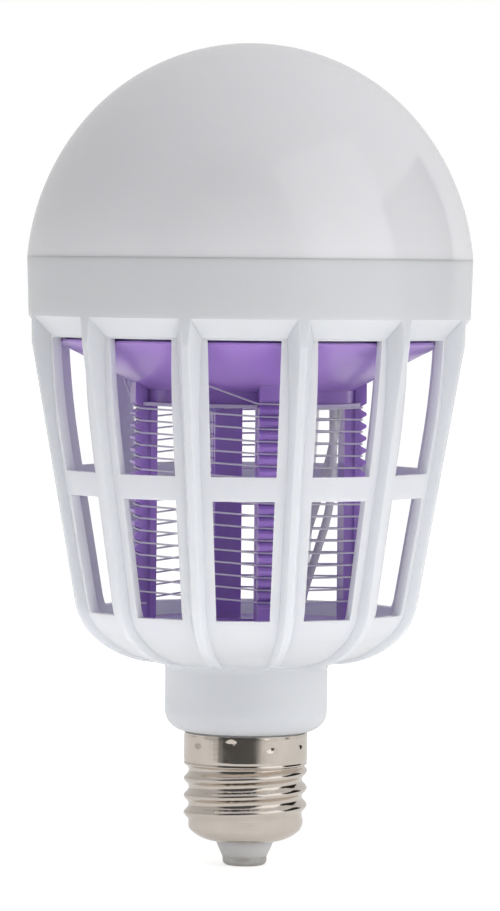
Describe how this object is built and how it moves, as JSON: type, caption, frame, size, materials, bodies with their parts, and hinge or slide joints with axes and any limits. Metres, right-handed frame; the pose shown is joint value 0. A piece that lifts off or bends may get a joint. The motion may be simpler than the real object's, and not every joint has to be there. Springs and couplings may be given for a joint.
{
  "type": "insect killer light bulb",
  "caption": "Screw-in lamp with an opal dome over a ribbed, windowed cage that holds a funnel and notched columns wound with bare grid wires.",
  "frame": {"origin": "middle of the centre contact's flat end", "axes": "+Z along the lamp's axis from the cap to the dome, -Y towards the window seen from the front"},
  "size_m": [0.0942, 0.0942, 0.1739],
  "materials": {
    "opal_polycarbonate": "glossy",
    "white_moulding": "glossy",
    "violet_moulding": "glossy",
    "nickel_plate": "satin",
    "insulator_white": "satin",
    "contact_metal": "satin",
    "grid_steel": "bright",
    "lead_sleeve": "satin",
    "board_white": "satin",
    "board_aluminium": "coated",
    "board_laminate": "satin",
    "light_chip": "glossy",
    "lure_chip": "glossy",
    "screw_steel": "zinc plated",
    "film_red": "glossy",
    "capacitor_can": "sleeved",
    "capacitor_dip": "dipped",
    "component_black": "moulded",
    "resistor_coat": "coated",
    "connector_nylon": "moulded"
  },
  "bodies": {
    "root": {"diffuser_dome": "opal_polycarbonate", "cage_body": "white_moulding", "screw_shell": "nickel_plate", "cap_insulator": "insulator_white", "centre_contact": "contact_metal", "grid_frame": "violet_moulding", "base_disc": "violet_moulding", "base_disc_screws": "screw_steel", "live_grid_wire": "grid_steel", "neutral_grid_wire": "grid_steel", "live_mains_lead": "lead_sleeve", "neutral_mains_lead": "lead_sleeve", "lure_led_board": "board_white", "lure_leds": "lure_chip", "lure_board_screws": "screw_steel", "light_board": "board_aluminium", "light_board_screws": "screw_steel", "white_leds": "light_chip", "driver_board": "board_laminate", "film_capacitor": "film_red", "smoothing_capacitor": "capacitor_can", "multiplier_capacitors": "capacitor_dip", "bridge_rectifier": "component_black", "fuse_resistor": "resistor_coat", "board_connector": "connector_nylon"}
  },
  "joints": []
}
